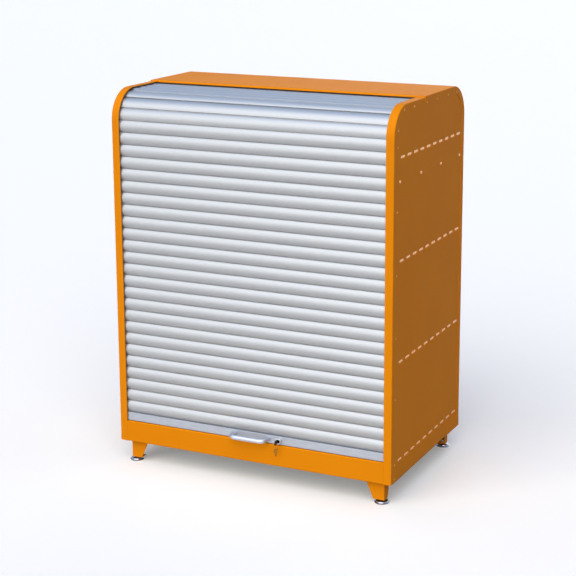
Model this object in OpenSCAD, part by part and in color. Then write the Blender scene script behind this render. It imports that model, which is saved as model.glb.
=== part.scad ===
// Roller-shutter cabinet for hazardous materials, in millimetres.
// The origin is on the floor below the middle of the cabinet: X to the right, Y to the back, Z up.

/* [Casing] */
// Overall width across the side flanges of the cover
cabinet_w = 1000; // [800:10:1200]
// Overall depth from the front bands to the back panel
cabinet_d = 620; // [540:10:760]
// Overall height from the floor to the top of the cover
cabinet_h = 1280; // [1100:10:1500]
// Height of the casing's underside above the floor
casing_z = 74; // [64:1:100]
// Radius of the two upper corners of a side panel
corner_r = 100; // [90:1:130]
// Thickness of the sheet steel
sheet_t = 1.5; // [1:0.1:2]
// Outer radius of the bend between a side panel's skin and its edge band
bend_r = 3; // [2.2:0.1:4]
// Width of the edge band that frames the shutter
band_w = 27; // [26:0.5:34]
// Step of the cover and the back panel out from the side panels' edges
cover_step = 4; // [3:0.5:8]
// Width of the cover's and the back panel's side flanges
flange_w = 25; // [18:1:32]
// Distance from the front to the front edge of the cover
cover_front = 253; // [220:1:300]
// Gap between the cover's front lip and the slats' crowns
lip_gap = 2; // [1:0.1:3]
// Height of the front plinth
plinth_h = 72; // [60:1:90]
// Depth of the plinth's, back panel's and side panels' turned-in flanges
return_w = 20; // [14:1:22]

/* [Side slots] */
// Height of the lowest row of slots above the casing's underside
slot_low = 64; // [50:1:90]
// Distance between two rows of slots
slot_rise = 326; // [240:1:340]
// Most rows on a side panel
slot_rows = 4; // [2:1:4]
// Distance between two slots of a row
slot_pitch = 55; // [50:1:58]
// Number of slots in a row
slot_count = 10; // [4:1:10]
// Length of a slot
slot_l = 40; // [20:1:44]
// Height of a slot
slot_h = 9; // [5:0.5:14]
// Height of the zinc-plated rail behind a row of slots
slot_rail_h = 34; // [24:1:50]

/* [Shutter] */
// Distance between the joints of two slats
slat_pitch = 40; // [34:1:46]
// Bulge of a slat's front in front of its edges
slat_bulge = 6.5; // [5:0.1:7.5]
// Wall of a slat
slat_t = 1.4; // [1.1:0.1:1.6]
// Radius of the bead along a slat's upper edge
bead_r = 2.6; // [2.3:0.1:2.9]
// Radial play of a bead in its hook
bead_play = 0.4; // [0.35:0.05:0.5]
// Wall of the hook along a slat's lower edge
hook_t = 1.4; // [1.2:0.1:1.6]
// Distance of the slats' crowns behind the front of the bands
slat_recess = 5; // [4.6:0.1:6]
// Slats of the flat run behind the bend
top_slats_n = 6; // [5:1:8]
// Wall of the guide tracks
track_t = 1.5; // [1.2:0.1:1.5]
// Play between the slats' backs and the guide tracks
track_play = 0.5; // [0.4:0.1:0.8]
// Width of a guide track's two legs
track_leg = 20; // [17:0.5:22]
// Width of a guide track's riveted web
track_web = 34; // [30:1:36]
// Gap between a slat's end and the guide track
slat_end_gap = 2.5; // [1:0.5:4]
// Height of the bottom rail
rail_h = 28; // [25:1:34]
// Wall of the bottom rail
rail_t = 2.5; // [2:0.1:3]
// Thickness of the seal below the bottom rail
seal_t = 1.7; // [1.2:0.1:3]
// Gap between the seal and the plinth
seal_gap = 0.3; // [0.3:0.1:1]

/* [Handle and lock] */
// Distance between the handle's two legs
handle_c = 122; // [96:1:160]
// Diameter of the handle's rod
handle_rod = 16; // [12:0.5:17]
// Reach of the handle in front of the rail
handle_reach = 42; // [40:1:55]
// Radius of the handle's two bends, to the middle of the rod
handle_bend = 18; // [16:1:19]
// Distance of the lock to the right of the handle's middle
lock_x = 103; // [98:1:180]
// Radius of the lock's barrel in front of the rail
barrel_r = 10; // [9.4:0.1:11]
// Length of the lock's barrel in front of the rail
barrel_l = 12; // [8:0.5:16]
// Radius of the lock's housing in the rail
housing_r = 9; // [8:0.1:9.2]
// Radius of the turning lock plug
plug_r = 6; // [5.6:0.1:6.5]
// Length of the cam from the lock's axis
cam_l = 22; // [20:0.5:26]
// Radial running play of the turning and sliding parts
play = 0.05; // [0.03:0.01:0.08]

/* [Legs and feet] */
// Set-back of the legs from the front and the back
leg_back = 20; // [16:1:30]
// Set-back of the legs from the sides
leg_side = 32; // [30:1:60]
// Width of a leg's plates at the top
leg_top_w = 66; // [56:1:80]
// Width of a leg's front plate at the bottom
leg_low_w = 38; // [34:1:50]
// Depth of a leg's side plate at the top
leg_top_d = 42; // [36:1:60]
// Depth of a leg's side plate at the bottom
leg_low_d = 28; // [26:1:34]
// Thickness of the legs' plates
leg_t = 2; // [1.5:0.1:2.5]
// Height of a leg's underside above the floor
leg_z = 12; // [11:0.5:20]
// Distance of a foot's axis from a leg's side plate
foot_in_x = 13; // [12:0.5:18]
// Distance of a foot's axis from a leg's front plate
foot_in_y = 10.5; // [10.5:0.5:14]
// Radius of a foot's disc
foot_r = 24; // [18:0.5:30]
// Height of a foot's disc
foot_h = 8; // [6:0.5:9]
// Radius of a foot's stud
stud_r = 4; // [3:0.5:4]
// Length of a foot's stud
stud_l = 46; // [40:1:48]
// Width across the flats of the nut in a leg
nut_w = 13; // [12:0.5:14]
// Height of the nut in a leg
nut_h = 8; // [6:0.5:10]

/* [Inside] */
// Height of the rim of a shelf
shelf_rim = 20; // [12:1:30]
// Thickness of a shelf's sheet
shelf_t = 1.5; // [1:0.1:2]
// Drop of a shelf below its row of slots
shelf_drop = 13; // [10:1:40]
// Distance of the fixed upper shelf below the inner ceiling
upper_shelf_drop = 199; // [150:1:250]
// Distance of the shelves behind the front
shelf_front = 48; // [44:1:80]
// Leg of the angle brackets that carry the shelves
bracket_w = 20; // [14:1:26]
// Thickness of the brackets
bracket_t = 2; // [1.5:0.1:2.5]
// Height of the sump tray
sump_h = 60; // [40:1:80]
// Thickness of the sump tray's walls
sump_t = 2; // [1.5:0.1:3]
// Distance of the inner ceiling below the side panels' upper edge
ceiling_drop = 25; // [24:1:32]
// Distance of the inner back wall in front of the side panels' rear edge
inner_back = 37; // [37:1:48]
// Gap between an inner part and a neighbour that it is fitted between
fit_gap = 0.5; // [0.3:0.1:1]

/* [Fasteners] */
// Radius of a blind rivet's head
rivet_r = 3; // [2:0.1:4]
// Height of a blind rivet's head
rivet_h = 1.8; // [0.8:0.1:2.2]
// Distance of the rivets from a side panel's edge
rivet_in = 28; // [26:1:29]
// Distance between two rivets of the front column
rivet_pitch = 200; // [150:10:200]
// Height of the lowest rivet of the front column's regular run above the casing's underside
rivet_low = 276; // [200:1:300]
// Most rivets of the regular run
rivet_count = 5; // [3:1:5]
// Radius of a shelf screw's head
screw_r = 5; // [4:0.1:6]
// Height of a shelf screw's head
screw_h = 2.4; // [1.5:0.1:3]

/* [Hidden] */
$fn = 48;

// Planes of the casing
front_y = -cabinet_d / 2;
back_y = cabinet_d / 2;
side_x = cabinet_w / 2 - sheet_t;
side_rear_y = back_y - cover_step;
side_top_z = cabinet_h - cover_step;
bend_z = side_top_z - corner_r;
front_bend_y = front_y + corner_r;
rear_bend_y = side_rear_y - corner_r;
band_x = side_x - band_w;
cover_y = front_y + cover_front;
plinth_z = casing_z + plinth_h;
lip_h = cover_step + slat_recess - lip_gap;
pan_z = casing_z + sheet_t;

// Shutter
hook_r = bead_r + bead_play;
hook_out = hook_r + hook_t;
seam_gap = 0.6;
face_lift = 0.2;
face_bite = 0.1;
seam_drop = hook_out + seam_gap - face_lift;
face_low = seam_gap - seam_drop;
slat_chord = slat_pitch - 2 * seam_gap;
crown_r = (slat_chord * slat_chord / 4 + slat_bulge * slat_bulge) / (2 * slat_bulge);
crown_out = hook_out - slat_t + slat_bulge - face_bite;
joint_in = slat_recess + crown_out;
slat_back = joint_in + hook_out;
track_in = slat_back + track_play;
slat_x = side_x - sheet_t - track_t - slat_end_gap;
rail_low_z = plinth_z + seal_gap + seal_t;
rail_top_z = rail_low_z + rail_h;
rail_front_y = front_y + slat_recess;
first_joint_z = rail_top_z + seam_drop;
joint_r = corner_r - joint_in;
joint_turn = 2 * asin(slat_pitch / 2 / joint_r);
straight_l = bend_z - first_joint_z;
bend_l = 90 / joint_turn * slat_pitch;
front_slats_n = floor((straight_l + slat_pitch / 4) / slat_pitch);
bend_slats_n = ceil((straight_l + bend_l) / slat_pitch) - front_slats_n;
neck_t = 0.3 * bead_r;
mouth_low = 2 * hook_out;
mouth_front = 1.1 * hook_out;
mouth_back = 2.4 * hook_out;
brush_gap = 0.6;
brush_t = 6;

// Handle and lock
lock_z = rail_low_z + rail_h / 2;
barrel_y = rail_front_y - barrel_l;
rail_back_y = front_y + slat_back;
housing_proud = 2;
housing_back_y = rail_back_y + housing_proud;
handle_screw_r = 2.5;
handle_screw_l = 14;
handle_head_r = 4.5;
handle_head_h = 2.5;
screw_end_gap = 1;
seal_in = 3;
glide_l = 14;
cam_t = 2;
cam_w = 10;
cam_gap = 1;
key_t = 2;
key_play = 0.1;
key_h = 7;
blade_l = 20;
bow_r = 9;
bow_reach = 14;
bow_y = barrel_y - bow_reach;
eye_r = 2.6;
eye_drop = 5;
wire_r = 0.8;
ring_r = 8;
ring_play = 0.3;
eye_wall = 1.6;
ring_top_z = lock_z - eye_drop - eye_r + wire_r + ring_play;
ring_z = ring_top_z - ring_r;
spare_eye_z = ring_z - ring_r + wire_r + ring_play - eye_r;
spare_bow_r = 7;
spare_blade_l = 12;
// Turn of the hanging key on its ring
spare_turn = 35;
keeper_play = 2;
keeper_edge = 3;
keeper_rim = 10;
keeper_t = 3;
keeper_y0 = housing_back_y + cam_gap - keeper_play;
keeper_y1 = housing_back_y + cam_gap + cam_t + keeper_play;
cam_sweep = sqrt(cam_l * cam_l + cam_w * cam_w / 4);
cam_drop = lock_z - plinth_z;
keeper_w = 2 * sqrt(cam_sweep * cam_sweep - cam_drop * cam_drop) + 2 * keeper_play;

// Legs
leg_x = cabinet_w / 2 - leg_side;
leg_y = -front_y - leg_back;
foot_x = leg_x - foot_in_x;
foot_y = leg_y - foot_in_y;
foot_cove = 4.4;

// Inside
liner_x = band_x - fit_gap;
ceiling_z = side_top_z - ceiling_drop;
ceiling_rise = ceiling_z + sheet_t - bend_z;
bend_room_y = rear_bend_y + sqrt(corner_r * corner_r - ceiling_rise * ceiling_rise) - fit_gap;
inner_back_y = min(side_rear_y - inner_back, bend_room_y);
shelf_y = front_y + shelf_front;
shelf_rear_y = inner_back_y - sheet_t - fit_gap;
inner_x = liner_x - sheet_t;
slot_z = [for (i = [0 : slot_rows - 1]) if (row_z(i) + slot_rail_h / 2 < bend_z) row_z(i)];
shelf_z = [row_z(1) - shelf_drop, row_z(2) - shelf_drop, ceiling_z - upper_shelf_drop];
slot_shift = 13;
slot_y0 = (front_y + side_rear_y) / 2 + slot_shift - slot_pitch * (slot_count - 1) / 2;
sides = [-1, 1];
// How far a cut runs past the face that it opens
over = 1;

// Corner plates and fasteners
corner_plate_l = 100;
corner_plate_h = 29;
corner_plate_cut = 8;
corner_plate_z = casing_z + corner_plate_h;
rivet_foot = [12, 59];
rivet_bend = 20;
rivet_top_in = 17;
top_rivets = [79, 162];
cover_rivets_y = [12, 105, 206, 284];
screw_count = 4;
screw_front = 48.5;
screw_rear = 36.5;
screw_y0 = front_y + screw_front;
screw_pitch = (side_rear_y - screw_rear - screw_y0) / (screw_count - 1);

orange = "#e2860b";
zinc = "#c9ccd2";
aluminium = "#dfe4ea";
light_grey = "#d5d6d3";
chrome = "#e8e8ea";
black = "#1d1d1f";
brass = "#b98b3c";

// Height of a row of slots, counted from the lowest
function row_z(i) = casing_z + slot_low + i * slot_rise;

// Extrudes a shape drawn in Y and Z along X
module along_x(x0, x1) {
  translate([x0, 0, 0]) rotate([90, 0, 90]) linear_extrude(x1 - x0) children();
}

// Extrudes a shape drawn in X and Z along Y
module along_y(y0, y1) {
  translate([0, y1, 0]) rotate([90, 0, 0]) linear_extrude(y1 - y0) children();
}

// A box between two corners
module block(low, high) {
  translate(low) cube(high - low);
}

// Puts a part of the left side on the side given by its sign
module on_side(side) {
  if (side < 0) children();
  else mirror([1, 0, 0]) children();
}

// Sweeps a section round a side panel's edge: up the front, over the top and down the back.
// The section's X is the distance inwards from the left side, its Y the distance in from the edge.
module round_edge(front_low, rear_low) {
  translate([-side_x, front_y, front_low]) linear_extrude(bend_z - front_low) children();
  edge_bend(front_bend_y, 1) children();
  translate([-side_x, rear_bend_y, side_top_z]) rotate([90, 0, 0])
    linear_extrude(rear_bend_y - front_bend_y) mirror([0, 1, 0]) children();
  edge_bend(rear_bend_y, -1) children();
  translate([-side_x, side_rear_y, rear_low]) linear_extrude(bend_z - rear_low)
    mirror([0, 1, 0]) children();
}

// One quarter turn of that sweep, at the front or mirrored at the back
module edge_bend(y, way) {
  translate([-side_x, y, bend_z]) scale_y(way) rotate([180, 0, 0]) rotate([0, 90, 0])
    rotate_extrude(angle = 90) translate([corner_r, 0]) rotate(90) children();
}

// Mirrors in Y where the sign is negative
module scale_y(way) {
  if (way > 0) children();
  else mirror([0, 1, 0]) children();
}

// The face of a side panel, drawn in Y and Z and moved in from its edge
module side_face(inset, low_z) {
  r = corner_r - inset;
  difference() {
    translate([front_y + inset, low_z])
      square([side_rear_y - front_y - 2 * inset, side_top_z - inset - low_z]);
    translate([front_bend_y - corner_r, bend_z]) square(corner_r);
    translate([rear_bend_y, bend_z]) square(corner_r);
  }
  for (y = [front_bend_y, rear_bend_y]) translate([y, bend_z]) circle(r);
}

// The bent edge of a side panel
module edge_section() {
  translate([bend_r, 0]) square([band_w - bend_r, sheet_t]);
  translate([0, bend_r]) square([sheet_t, 2 * bend_r]);
  intersection() {
    difference() {
      translate([bend_r, bend_r]) circle(bend_r);
      translate([bend_r, bend_r]) circle(bend_r - sheet_t);
    }
    square(bend_r);
  }
}

module side_panel(side) {
  color(orange) on_side(side) difference() {
    union() {
      round_edge(casing_z, casing_z) edge_section();
      along_x(-side_x, -side_x + sheet_t) side_face(2 * bend_r, casing_z);
      block([-side_x, front_y + 2 * bend_r, casing_z],
        [-side_x + band_w, side_rear_y - 2 * bend_r, pan_z]);
    }
    along_x(-side_x - over, -side_x + sheet_t + over)
      for (z = slot_z, i = [0 : slot_count - 1])
        translate([slot_y0 + i * slot_pitch, z]) slot();
  }
}

// One slot with round ends
module slot() {
  square([slot_l - slot_h, slot_h], center = true);
  for (way = [-1, 1]) translate([way * (slot_l - slot_h) / 2, 0]) circle(slot_h / 2);
}

module left_side_panel() side_panel(-1);
module right_side_panel() side_panel(1);

// Channel that the slats' ends run in, with the web that the rivets hold
module track_section() {
  translate([sheet_t, bend_r]) square([track_t, track_web - bend_r]);
  translate([bend_r, sheet_t]) square([sheet_t + track_leg - bend_r, track_t]);
  translate([sheet_t, track_in]) square([track_leg, track_t]);
  intersection() {
    translate([bend_r, bend_r]) circle(bend_r - sheet_t);
    square(bend_r);
  }
}

module guide_track(side) {
  color(zinc) on_side(side) round_edge(pan_z, pan_z) track_section();
}

module left_guide_track() guide_track(-1);
module right_guide_track() guide_track(1);

module inner_liner(side) {
  color(light_grey) on_side(side)
    along_x(-liner_x, -inner_x) intersection() {
      side_face(track_in + 2 * track_t, pan_z);
      translate([front_y, pan_z]) square([inner_back_y - sheet_t - front_y, ceiling_z - pan_z]);
    }
}

module left_inner_liner() inner_liner(-1);
module right_inner_liner() inner_liner(1);

module slot_rails(side) {
  color(zinc) on_side(side) for (z = slot_z)
    block([-side_x + sheet_t, front_y + track_web, z - slot_rail_h / 2],
      [-side_x + sheet_t + track_t, side_rear_y - track_web, z + slot_rail_h / 2]);
}

module left_slot_rails() slot_rails(-1);
module right_slot_rails() slot_rails(1);

// Region of the cover in Y and Z between two distances out from the side panels' edges
module cover_band(out, inner) {
  translate([cover_y, side_top_z + inner]) square([rear_bend_y - cover_y, out - inner]);
  intersection() {
    difference() {
      translate([rear_bend_y, bend_z]) circle(corner_r + out);
      translate([rear_bend_y, bend_z]) circle(corner_r + inner);
    }
    translate([rear_bend_y, bend_z]) square(corner_r + out + over);
  }
}

module top_cover() {
  color(orange) {
    along_x(-cabinet_w / 2, cabinet_w / 2) {
      cover_band(cover_step, cover_step - sheet_t);
      translate([cover_y, side_top_z]) square([sheet_t, cover_step - sheet_t]);
    }
    block([-band_x + fit_gap, cover_y, cabinet_h - lip_h],
      [band_x - fit_gap, cover_y + sheet_t, side_top_z]);
    for (side = sides) on_side(side)
      along_x(-cabinet_w / 2, -side_x) cover_band(cover_step - sheet_t, cover_step - flange_w);
  }
}

module back_panel() {
  color(orange) {
    block([-cabinet_w / 2, back_y - sheet_t, casing_z], [cabinet_w / 2, back_y, bend_z]);
    block([-band_x, back_y - cover_step - return_w, casing_z], [band_x, back_y - sheet_t, pan_z]);
    for (side = sides) on_side(side)
      block([-cabinet_w / 2, back_y - flange_w, corner_plate_z + fit_gap],
        [-side_x, back_y - sheet_t, bend_z]);
  }
}

module rear_corner_plates() {
  color(orange) for (side = sides) on_side(side)
    along_x(-cabinet_w / 2, -side_x) polygon([
      [side_rear_y - corner_plate_l, casing_z], [back_y - sheet_t, casing_z],
      [back_y - sheet_t, corner_plate_z], [side_rear_y - corner_plate_l + corner_plate_cut, corner_plate_z],
      [side_rear_y - corner_plate_l, corner_plate_z - corner_plate_cut]
    ]);
}

module inner_back_wall() {
  color(light_grey) block([-liner_x, inner_back_y - sheet_t, pan_z], [liner_x, inner_back_y, ceiling_z]);
}

module inner_ceiling() {
  color(light_grey) {
    block([-liner_x, front_bend_y, ceiling_z], [liner_x, inner_back_y, ceiling_z + sheet_t]);
    block([-inner_x + fit_gap, front_bend_y, ceiling_z - return_w],
      [inner_x - fit_gap, front_bend_y + sheet_t, ceiling_z]);
  }
}

// Slot that the turned cam reaches into
module keeper_slot(low_z, high_z) {
  block([lock_x - keeper_w / 2, keeper_y0, low_z], [lock_x + keeper_w / 2, keeper_y1, high_z]);
}

module front_plinth() {
  color(orange) difference() {
    union() {
      block([-band_x + fit_gap, front_y, casing_z], [band_x - fit_gap, front_y + sheet_t, plinth_z]);
      block([-band_x + fit_gap, front_y, casing_z], [band_x - fit_gap, front_y + return_w, pan_z]);
      block([-inner_x + fit_gap, front_y, plinth_z - sheet_t],
        [inner_x - fit_gap, keeper_y1 + keeper_edge, plinth_z]);
    }
    keeper_slot(plinth_z - 2 * sheet_t, plinth_z + over);
  }
}

module lock_keeper() {
  color(zinc) difference() {
    block([lock_x - keeper_w / 2 - keeper_rim, front_y + sheet_t, plinth_z - sheet_t - keeper_t],
      [lock_x + keeper_w / 2 + keeper_rim, keeper_y1 + keeper_edge, plinth_z - sheet_t]);
    keeper_slot(plinth_z - 2 * sheet_t - keeper_t, plinth_z);
  }
}

module floor_pan() {
  color(light_grey)
    block([-band_x + fit_gap, front_y + return_w + fit_gap, casing_z],
      [band_x - fit_gap, back_y - cover_step - return_w - fit_gap, pan_z]);
}

// An open tray between two corners
module tray(low, high, t) {
  difference() {
    block(low, high);
    block(low + [t, t, t], high + [-t, -t, over]);
  }
}

module sump_tray() {
  color(orange)
    tray([-inner_x + fit_gap, shelf_y, pan_z],
      [inner_x - fit_gap, shelf_rear_y, pan_z + sump_h], sump_t);
}

module shelf(z) {
  color(light_grey)
    tray([-inner_x + fit_gap, shelf_y, z],
      [inner_x - fit_gap, shelf_rear_y, z + shelf_rim], shelf_t);
}

module lower_shelf() shelf(shelf_z[0]);
module middle_shelf() shelf(shelf_z[1]);
module upper_shelf() shelf(shelf_z[2]);

module shelf_brackets() {
  color(zinc) for (z = shelf_z, side = sides) on_side(side) {
    block([-inner_x, shelf_y, z - bracket_w], [-inner_x + bracket_t, shelf_rear_y, z]);
    block([-inner_x, shelf_y, z - bracket_t], [-inner_x + bracket_w, shelf_rear_y, z]);
  }
}

// A folded corner leg, made at the front left and mirrored to its corner
module leg(side, way) {
  color(orange) on_side(side) scale_y(way) difference() {
    union() {
      along_y(-leg_y, -leg_y + leg_t) polygon([
        [-leg_x, leg_z], [-leg_x + leg_low_w, leg_z],
        [-leg_x + leg_top_w, casing_z], [-leg_x, casing_z]
      ]);
      along_x(-leg_x, -leg_x + leg_t) polygon([
        [-leg_y, leg_z], [-leg_y + leg_low_d, leg_z],
        [-leg_y + leg_top_d, casing_z], [-leg_y, casing_z]
      ]);
      block([-leg_x, -leg_y, leg_z], [-leg_x + leg_low_w, -leg_y + leg_low_d, leg_z + leg_t]);
      block([-leg_x, -leg_y, casing_z - leg_t], [-leg_x + leg_top_w, -leg_y + leg_top_d, casing_z]);
    }
    translate([-foot_x, -foot_y, leg_z - over])
      cylinder(r = stud_r + play, h = leg_t + 2 * over);
  }
}

module front_left_leg() leg(-1, 1);
module front_right_leg() leg(1, 1);
module rear_left_leg() leg(-1, -1);
module rear_right_leg() leg(1, -1);

module leg_nuts() {
  color(zinc) for (side = sides, way = sides) translate([side * foot_x, way * foot_y, leg_z + leg_t])
    difference() {
      cylinder(d = nut_w / cos(30), h = nut_h, $fn = 6);
      translate([0, 0, -over]) cylinder(r = stud_r + play, h = nut_h + 2 * over);
    }
}

module foot(side, way) {
  color(chrome) translate([side * foot_x, way * foot_y, 0]) {
    rotate_extrude() difference() {
      square([foot_r, foot_h]);
      translate([foot_r, foot_h]) circle(foot_cove);
    }
    translate([0, 0, foot_h]) cylinder(r = stud_r, h = stud_l);
  }
}

module front_left_foot() foot(-1, -1);
module front_right_foot() foot(1, -1);
module rear_left_foot() foot(-1, 1);
module rear_right_foot() foot(1, 1);

// A low domed head on the outside of the left side, its axis along X
module dome_head(r, h) {
  dome = (r * r + h * h) / (2 * h);
  rotate([0, -90, 0]) intersection() {
    translate([0, 0, h - dome]) sphere(dome);
    cylinder(r = r + over, h = h + over);
  }
}

// Rivets of the front column: a regular run, two close ones at the foot and one on the bend
function front_rivets() = concat(
  [for (i = [0 : rivet_count - 1]) let (z = casing_z + rivet_low + i * rivet_pitch) if (z < bend_z) z],
  [for (z = rivet_foot) casing_z + z]
);

module side_rivets() {
  color(orange) for (side = sides) on_side(side) {
    for (z = front_rivets()) translate([-side_x, front_y + rivet_in, z]) dome_head(rivet_r, rivet_h);
    for (y = top_rivets) translate([-side_x, front_y + y, side_top_z - rivet_top_in])
      dome_head(rivet_r, rivet_h);
    translate([-side_x, front_bend_y, bend_z]) rotate([-rivet_bend, 0, 0])
      translate([0, rivet_in - corner_r, 0]) dome_head(rivet_r, rivet_h);
  }
}

module cover_rivets() {
  color(orange) for (side = sides, y = cover_rivets_y) on_side(side)
    translate([-cabinet_w / 2, cover_y + y, side_top_z - rivet_top_in]) dome_head(rivet_r, rivet_h);
}

module shelf_screws() {
  color(zinc) for (side = sides, i = [0 : screw_count - 1]) on_side(side)
    translate([-side_x, screw_y0 + i * screw_pitch, shelf_z[2] - bracket_w / 2])
      dome_head(screw_r, screw_h);
}

module brush_seal() {
  color(black) block([-band_x + fit_gap, cover_y + sheet_t, side_top_z - slat_recess + brush_gap],
    [band_x - fit_gap, cover_y + sheet_t + brush_t, cabinet_h - sheet_t]);
}

// Sections of a slat: its lower joint at the origin, the next joint up at [0, slat_pitch], front to -X.
// The bulging face comes first
module slat_face() {
  intersection() {
    translate([crown_r - crown_out, face_low + slat_chord / 2]) difference() {
      circle(crown_r, $fn = 96);
      circle(crown_r - slat_t, $fn = 96);
    }
    translate([-crown_out - over, face_low]) square([crown_out + over, slat_chord]);
  }
}

// Hook round the bead of the slat below, open downwards and to the back so that the joint can turn
module slat_hook() {
  difference() {
    circle(hook_out);
    circle(hook_r);
    polygon([[0, 0], [-mouth_front, -mouth_low], [mouth_back, -mouth_low]]);
  }
}

// Bead along the upper edge, on a neck from the face
module slat_bead() {
  face_top = face_low + slat_chord;
  translate([0, slat_pitch]) circle(bead_r);
  polygon([
    [-neck_t, slat_pitch - bead_r / 2], [neck_t, slat_pitch - bead_r / 2],
    [neck_t, slat_pitch - hook_out - seam_gap], [-hook_out + 1.2 * slat_t, face_top - 2.4 * slat_t],
    [-hook_out + slat_t / 7, face_top - 1.4 * slat_t], [-hook_out + slat_t, face_top - seam_gap],
    [-neck_t, slat_pitch - hook_out - seam_gap / 2]
  ]);
}

// Place of a joint, as Y and Z, a distance along the chain of slats from the first joint
function joint_at(s) =
  s <= straight_l ? [front_y + joint_in, first_joint_z + s] :
  s <= straight_l + bend_l ?
    let (a = (s - straight_l) / slat_pitch * joint_turn)
    [front_bend_y - joint_r * cos(a), bend_z + joint_r * sin(a)] :
  [front_bend_y + s - straight_l - bend_l, side_top_z - joint_in];

// Puts a section at its place in the chain, counted from the bottom rail, over the slats' length
module in_chain(i) {
  low = joint_at(i * slat_pitch);
  high = joint_at((i + 1) * slat_pitch);
  lean = atan2(high[0] - low[0], high[1] - low[1]);
  along_x(-slat_x, slat_x) translate(low) rotate(-lean) children();
}

module slat(i) {
  in_chain(i) slat_face();
  in_chain(i) slat_hook();
  in_chain(i) slat_bead();
}

module lead_slat() {
  color(aluminium) slat(0);
}

module front_slats() {
  color(aluminium) for (i = [1 : front_slats_n - 1]) slat(i);
}

module bend_slats() {
  color(aluminium) for (i = [0 : bend_slats_n - 1]) slat(front_slats_n + i);
}

module top_slats() {
  color(aluminium) for (i = [0 : top_slats_n - 1]) slat(front_slats_n + bend_slats_n + i);
}

module bottom_rail() {
  d = slat_back - slat_recess;
  color(aluminium) difference() {
    along_x(-slat_x, slat_x) {
      translate([rail_front_y, rail_low_z]) difference() {
        square([d, rail_h]);
        translate([rail_t, rail_t]) square([d, rail_h - 2 * rail_t]);
      }
      translate([front_y + joint_in - neck_t, rail_top_z - rail_t]) square([2 * neck_t, seam_drop]);
      translate([front_y + joint_in, first_joint_z]) circle(bead_r);
    }
    lock_bar(housing_r + play, rail_front_y - over, rail_front_y + rail_t + over);
    for (way = sides) translate([way * handle_c / 2, rail_front_y - over, lock_z])
      rotate([-90, 0, 0]) cylinder(r = handle_screw_r + play, h = rail_t + 2 * over);
  }
}

module rail_seal() {
  color(black) block([-slat_x, rail_front_y + seal_in, rail_low_z - seal_t],
    [slat_x, rail_back_y, rail_low_z]);
}

// Nylon blocks in the ends of the bottom rail
module rail_glides() {
  color(black) for (side = sides) on_side(side)
    block([-slat_x, rail_front_y + rail_t, rail_low_z + rail_t],
      [-slat_x + glide_l, rail_back_y, rail_top_z - rail_t]);
}

module pull_handle() {
  r = handle_rod / 2;
  bar_y = rail_front_y - handle_reach + r;
  leg_l = handle_reach - r - handle_bend;
  color(chrome) translate([0, 0, lock_z]) difference() {
    union() {
      translate([handle_bend - handle_c / 2, bar_y, 0]) rotate([0, 90, 0])
        cylinder(r = r, h = handle_c - 2 * handle_bend);
      for (way = sides) on_side(way) {
        translate([-handle_c / 2, rail_front_y - leg_l, 0]) rotate([-90, 0, 0]) cylinder(r = r, h = leg_l);
        translate([handle_bend - handle_c / 2, bar_y + handle_bend, 0]) rotate([0, 0, 180])
          rotate_extrude(angle = 90) translate([handle_bend, 0]) circle(r);
      }
    }
    for (way = sides) translate([way * handle_c / 2, rail_front_y - handle_screw_l, 0])
      rotate([-90, 0, 0]) cylinder(r = handle_screw_r + play, h = handle_screw_l + over);
  }
}

module handle_screws() {
  color(zinc) for (way = sides) translate([way * handle_c / 2, rail_front_y + rail_t, lock_z]) {
    rotate([90, 0, 0]) cylinder(r = handle_screw_r, h = rail_t + handle_screw_l - screw_end_gap);
    rotate([-90, 0, 0]) cylinder(r = handle_head_r, h = handle_head_h);
  }
}

// A round bar along Y on the lock's axis
module lock_bar(r, y0, y1) {
  translate([lock_x, y0, lock_z]) rotate([-90, 0, 0]) cylinder(r = r, h = y1 - y0);
}

module lock_housing() {
  color(chrome) difference() {
    union() {
      lock_bar(barrel_r, barrel_y, rail_front_y);
      lock_bar(housing_r, rail_front_y, housing_back_y);
    }
    lock_bar(plug_r + play, barrel_y - over, housing_back_y + over);
  }
}

module lock_plug() {
  color(chrome) difference() {
    lock_bar(plug_r, barrel_y, housing_back_y + cam_gap);
    block([lock_x - key_t / 2 - key_play, barrel_y - over, lock_z - key_h / 2 - key_play],
      [lock_x + key_t / 2 + key_play, barrel_y + blade_l + key_play, lock_z + key_h / 2 + key_play]);
  }
}

module lock_cam() {
  y0 = housing_back_y + cam_gap;
  color(zinc) along_y(y0, y0 + cam_t) translate([lock_x, lock_z]) {
    circle(cam_w / 2);
    translate([-cam_l, -cam_w / 2]) square([cam_l, cam_w]);
  }
}

module key() {
  color(brass) along_x(lock_x - key_t / 2, lock_x + key_t / 2) difference() {
    union() {
      translate([bow_y, lock_z]) circle(bow_r);
      translate([bow_y, lock_z - key_h / 2]) square([bow_reach + blade_l, key_h]);
    }
    translate([bow_y, lock_z - eye_drop]) circle(eye_r);
  }
}

module key_ring() {
  color(zinc) translate([lock_x, bow_y, ring_z]) rotate([90, 0, 0])
    rotate_extrude() translate([ring_r, 0]) circle(wire_r, $fn = 24);
}

module spare_key() {
  bow_z = spare_eye_z + eye_r + eye_wall - spare_bow_r;
  color(brass) translate([lock_x, bow_y, 0]) rotate([0, 0, -spare_turn])
    along_x(-key_t / 2, key_t / 2) difference() {
      union() {
        translate([0, bow_z]) circle(spare_bow_r);
        translate([-key_h / 2, bow_z - spare_bow_r - spare_blade_l])
          square([key_h, spare_bow_r + spare_blade_l]);
      }
      translate([0, spare_eye_z]) circle(eye_r);
    }
}

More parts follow.
